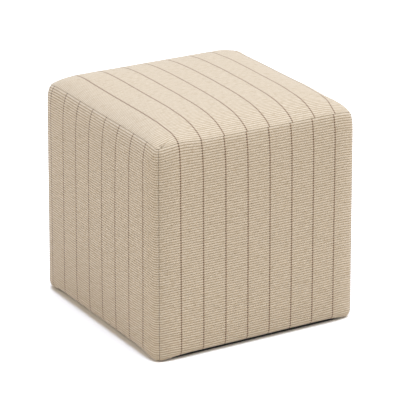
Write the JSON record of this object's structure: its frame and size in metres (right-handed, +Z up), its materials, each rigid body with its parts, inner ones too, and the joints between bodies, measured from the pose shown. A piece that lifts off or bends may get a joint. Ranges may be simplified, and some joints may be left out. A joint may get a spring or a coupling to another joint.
{
  "type": "cube pouf stool",
  "caption": "Cube pouf stool: a soft filled footstool in ribbed, pin-striped cloth with a crowned top, sewn corner seams and a black board under the rolled bottom edges.",
  "frame": {"origin": "on the floor, at the middle of the underside", "axes": "+Z up; the front panel faces -Y and the right panel faces +X"},
  "size_m": [0.4332, 0.4332, 0.436],
  "materials": {
    "striped_repp": "matt ribbed cotton cloth with thin dark stripes",
    "base_cover": "matt black non-woven cloth"
  },
  "bodies": {
    "root": {"top_panel": "striped_repp", "front_panel": "striped_repp", "right_panel": "striped_repp", "back_panel": "striped_repp", "left_panel": "striped_repp", "base_board": "base_cover"}
  },
  "joints": []
}
